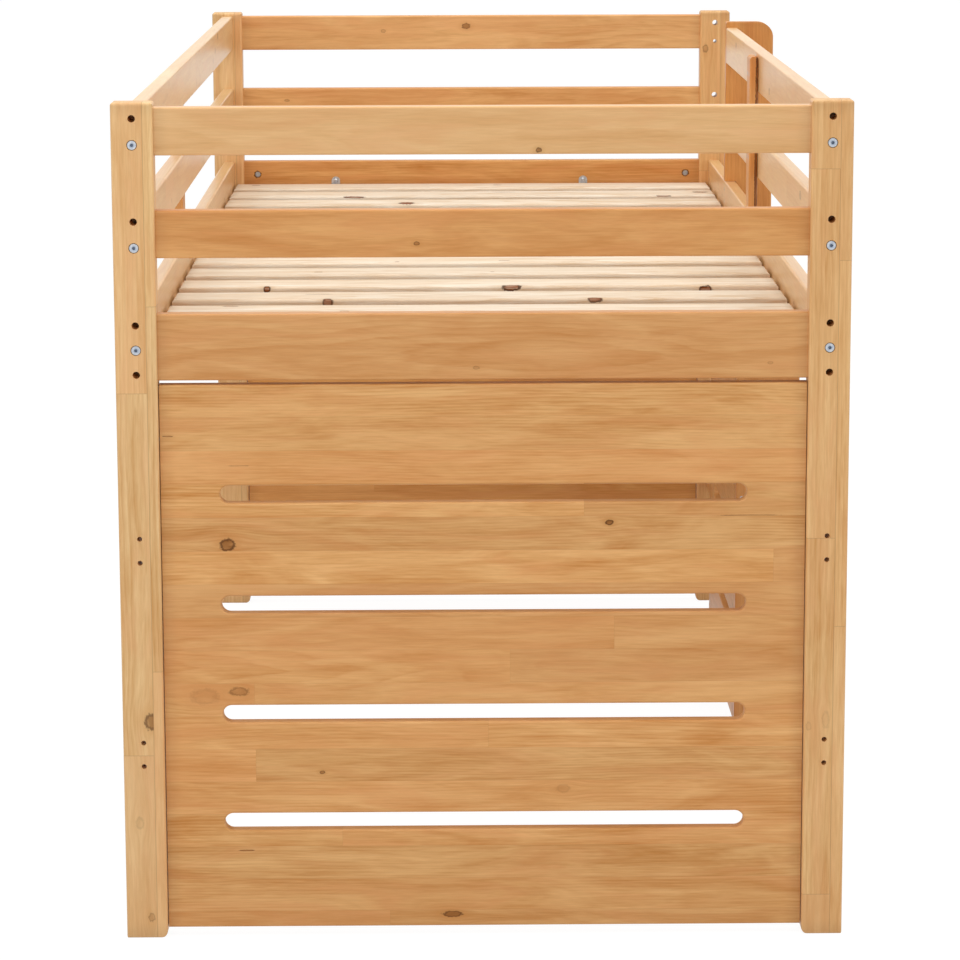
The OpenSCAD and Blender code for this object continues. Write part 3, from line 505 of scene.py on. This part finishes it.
SLAT_KNOTS = {
    "slat_04": [(-0.2458, -0.5606, 0.0072, 1.1, 0.85, 1.0, 0.8175),
                (0.1447, -0.56, 0.0052, 2.0, 0.85, 1.0, 0.82), (-0.2612, -0.51, 0.0016, 12.0, 0.8, 0.0)],
    "slat_05": [(-0.3407, -0.4299, 0.0056, 1.0, 1.0, 1.0, 0.8185),
                (0.0257, -0.4295, 0.0062, 2.4, 0.95, 1.0, 0.82),
                (0.3172, -0.43, 0.0062, 1.6, 1.0, 1.0, 0.815)],
    "slat_08": [(-0.12, -0.02, 0.006, 1.4, 0.5, 1.0)],
    "slat_13": [(-0.144, 0.632, 0.014, 1.0, 1.0, 1.0)],
    "slat_14": [(-0.243, 0.746, 0.0022, 9.0, 0.8, 0.0, 0.82), (0.0361, 0.8, 0.0022, 9.0, 0.6, 0.0),
                (0.3303, 0.746, 0.0018, 9.0, 0.7, 0.0, 0.82), (0.4012, 0.79, 0.009, 1.6, 0.9, 1.0)],
}

# Painted shade: dark rims round the bores that the low rails' barrel nuts sit in, on the faces towards the
# bed, standing in for the shadow in the recess round each nut
NUT_RIM_SHADES = {
    node: [(x, z, 0.0066, 1.0, 0.9, 0.0, y) for x in (-0.432, 0.386) for z in (0.8005, 0.8395)]
    for node, y in {"front_low_rail": -0.9615, "back_low_rail": 0.9615}.items()
}

# Painted shade: a dark line down the right upright's front face where it stands against the guards, standing
# in for the shadow in that corner
CREASE_SHADES = {"right_upright": [(0.955, 0.4278, 0.0026, 90.0, 1.0, 0.0, -0.04)]}


# How much stain each board has. The numbers hold each board's own tone and also painted light: boards that
# stand in shade, at the far end and inside the bed, take more as painted shade, and the guards and the front
# left post take less as a painted sheen where they catch the light.
POSTS = {"post_front_left": -0.3, "post_front_right": 0.3, "post_back_left": -0.2, "post_back_right": 0.6}
END_RAILS = {"front_top_rail": -0.2, "front_mid_rail": 1.35, "front_low_rail": 0.9, "back_top_rail": 0.65,
             "back_mid_rail": 1.0, "back_low_rail": 1.45}
SIDE_BOARDS = {"left_side_rail": -0.3, "right_side_rail": -0.3, "left_top_guard": -0.8,
               "left_mid_guard": -0.4, "right_top_guard": -0.6, "right_mid_guard": -0.6, "left_ledger": 1.8,
               "right_ledger": 1.8, "ladder_rung_low": 1.2, "ladder_rung_high": 1.2}
UPRIGHTS = {"left_upright": 1.8, "right_upright": 1.8, "ladder_stile": 2.2, "side_stile": 1.8}

SLAT_COUNT = 15


def dress_posts(rng):
    for i, (node, stain_and_light) in enumerate(POSTS.items()):
        knots_and_shades = POST_KNOTS.get(node) or chance_knots(rng, node, UPRIGHT, 3)
        wear(node, board_material(node, UPRIGHT, QUARTERED, 11 + i, stain_and_light, strip=0.042,
                                  strip_start=[-0.028, -0.031][i % 2], stave=0.5, seam=0.35, butt=0.3,
                                  pith=(0.05, -0.03), ring=0.005, waviness=0.012, knots_and_shades=knots_and_shades))


def dress_end_rails(rng):
    for i, (node, stain_and_light) in enumerate(END_RAILS.items()):
        knots_and_shades = RAIL_KNOTS.get(node, chance_knots(rng, node, CROSSWISE, 2, 0.003, 0.35))
        finish = FINE if node == "front_top_rail" else HONEY
        wear(node, board_material(node, CROSSWISE, finish, 21 + i, stain_and_light, pith=RAIL_PITHS[i % 4],
                                  knots_and_shades=knots_and_shades + NUT_RIM_SHADES.get(node, [])))


def dress_panels(rng):
    panels = {
        "front_panel": (CROSSWISE, HONEY, 31, 1.0, 0.03, PANEL_KNOTS),
        "back_panel": (CROSSWISE, HONEY_PAINTED_WARM_LIGHT, 32, 1.15, 0.02, chance_knots(rng, "back_panel", CROSSWISE, 6)),
        "side_panel": (LENGTHWISE, HONEY, 33, 1.2, 0.02, chance_knots(rng, "side_panel", LENGTHWISE, 3)),
    }
    for node, (axes, finish, seed, stain_and_light, waviness, knots_and_shades) in panels.items():
        wear(node, board_material(node, axes, finish, seed, stain_and_light, strip=PANEL_STRIP,
                                  strip_start=PANEL_STRIP_START, stave=2.4, seam=0.08, butt=0.08,
                                  waviness=waviness, knots_and_shades=knots_and_shades))


def dress_side_boards(rng):
    for i, (node, stain_and_light) in enumerate(SIDE_BOARDS.items()):
        wear(node, board_material(node, LENGTHWISE, QUIET, 41 + i, stain_and_light, stave=0.7, butt=0.4,
                                  pith=RAIL_PITHS[i % 4], knots_and_shades=chance_knots(rng, node, LENGTHWISE, 3)))


def dress_uprights(rng):
    for i, (node, stain_and_light) in enumerate(UPRIGHTS.items()):
        knots_and_shades = CREASE_SHADES.get(node) or chance_knots(rng, node, UPRIGHT, 1)
        wear(node, board_material(node, UPRIGHT, QUARTERED, 61 + i, stain_and_light, stave=0.9, pith=RAIL_PITHS[i],
                                  knots_and_shades=knots_and_shades))


def dress_slats(rng):
    for i in range(1, SLAT_COUNT + 1):
        node = f"slat_{i:02d}"
        pith = (rng.uniform(-0.03, 0.03), rng.uniform(-0.06, -0.02))
        knots_and_shades = SLAT_KNOTS.get(node, chance_knots(rng, node, FLAT, 2))
        wear(node, board_material(node, FLAT, RAW, 70 + i, 0.0, seam=0.0, butt=0.0, pith=pith, ring=0.005,
                                  waviness=0.03, knots_and_shades=knots_and_shades))


def dress_woods():
    rng = random.Random(7)
    dress_posts(rng)
    dress_end_rails(rng)
    dress_panels(rng)
    dress_side_boards(rng)
    dress_uprights(rng)
    dress_slats(rng)


# The axis that each node's bolts lie along, and their places across and up
RAIL_BOLTS = (1, (-0.486, 0.44), (0.817, 0.9545, 1.0915))
BOLT_HEADS = {"rail_bolts_front": RAIL_BOLTS, "rail_bolts_back": RAIL_BOLTS}


def dress_fittings():
    zinc = zinc_material()
    for row in frame["record"]["subparts"]:
        if row["material_slot"] == "zinc":
            wear(row["node"], zinc)
    for node, (axis, across, up) in BOLT_HEADS.items():
        wear(node, zinc_material(node, axis, across, up))
    wear("end_dowels", board_material("end_dowels", CROSSWISE, RAW, 99))


def area_light(name, place, aim, size, power, colour=(1.0, 1.0, 1.0)):
    lamp = bpy.data.lights.new(name, "AREA")
    lamp.shape = "RECTANGLE"
    lamp.size, lamp.size_y = size
    lamp.energy = power
    lamp.color = colour
    holder = bpy.data.objects.new(name, lamp)
    holder.location = place
    holder.rotation_euler = (Vector(aim) - Vector(place)).to_track_quat("-Z", "Y").to_euler()
    bpy.context.collection.objects.link(holder)


# The surround's strength on the wood, the floor's own white, and how much of its lit face that glow covers
SKY = 0.56
GLOW = 0.93
GLOW_SHARE = 0.8


def seen(g):
    """One for rays from the camera, also by way of a shine or a clear body, and nought for all others."""
    path = g.node("ShaderNodeLightPath").outputs
    direct = g.math("MAXIMUM", path["Is Camera Ray"], path["Is Glossy Ray"])
    return g.math("MAXIMUM", direct, path["Is Transmission Ray"])


def white_surround():
    """A white surround for the eye, with softer light for the wood."""
    world = bpy.data.worlds.new("studio")
    bpy.context.scene.world = world
    world.use_nodes = True
    g = Graph(world.node_tree)
    light = world.node_tree.nodes["Background"]
    g.feed(light.inputs["Color"], WHITE)
    g.feed(light.inputs["Strength"], SKY)
    white = g.node("ShaderNodeBackground", {"Color": WHITE, "Strength": 1.0})
    mixed = g.node("ShaderNodeMixShader", {0: seen(g), 1: light.outputs[0], 2: white.outputs[0]})
    g.feed(world.node_tree.nodes["World Output"].inputs["Surface"], mixed.outputs[0])


def pale_floor():
    """A floor that shows white and still takes a soft shadow from the bed."""
    bpy.ops.mesh.primitive_plane_add(size=60.0, location=(0.0, 0.0, 0.0))
    floor = bpy.context.object
    floor.name = "studio_floor"
    material = bpy.data.materials.new("pale_floor")
    material.use_nodes = True
    g = Graph(material.node_tree)
    shader = material.node_tree.nodes["Principled BSDF"]
    for socket, value in {"Base Color": srgb(206, 206, 204), "Roughness": 0.9}.items():
        g.feed(shader.inputs[socket], value)
    glow = g.node("ShaderNodeEmission", {"Color": WHITE, "Strength": GLOW / GLOW_SHARE})
    share = g.times(seen(g), GLOW_SHARE)
    mixed = g.node("ShaderNodeMixShader", {0: share, 1: shader.outputs[0], 2: glow.outputs[0]})
    g.feed(material.node_tree.nodes["Material Output"].inputs["Surface"], mixed.outputs[0])
    floor.data.materials.append(material)


def lamps():
    area_light("key", (-2.6, -4.6, 2.0), (0.0, -0.6, 0.6), (3.0, 2.0), 42.0, (1.0, 0.98, 0.96))
    area_light("fill", (3.2, -4.0, 1.5), (0.0, -0.6, 0.6), (3.0, 2.0), 27.0, (0.97, 0.98, 1.0))
    area_light("top", (0.0, -0.3, 4.3), (0.0, 0.1, 0.6), (4.0, 5.0), 115.0)


def camera():
    """The photograph's view: one-point, from 1.53 m up and 4.4 m in front of the bed's end."""
    lens = bpy.data.cameras.new("camera")
    lens.sensor_width = 36.0
    lens.lens = 124.2
    lens.shift_x = -0.0017
    lens.shift_y = -0.12
    holder = bpy.data.objects.new("camera", lens)
    holder.location = (-0.0702, -5.3497, 1.5278)
    holder.rotation_euler = (math.pi / 2 - 0.1663, 0.0028, -0.0108)
    bpy.context.collection.objects.link(holder)
    bpy.context.scene.camera = holder


dress_woods()
dress_fittings()
white_surround()
pale_floor()
lamps()
camera()
bpy.context.scene.view_settings.view_transform = "Standard"
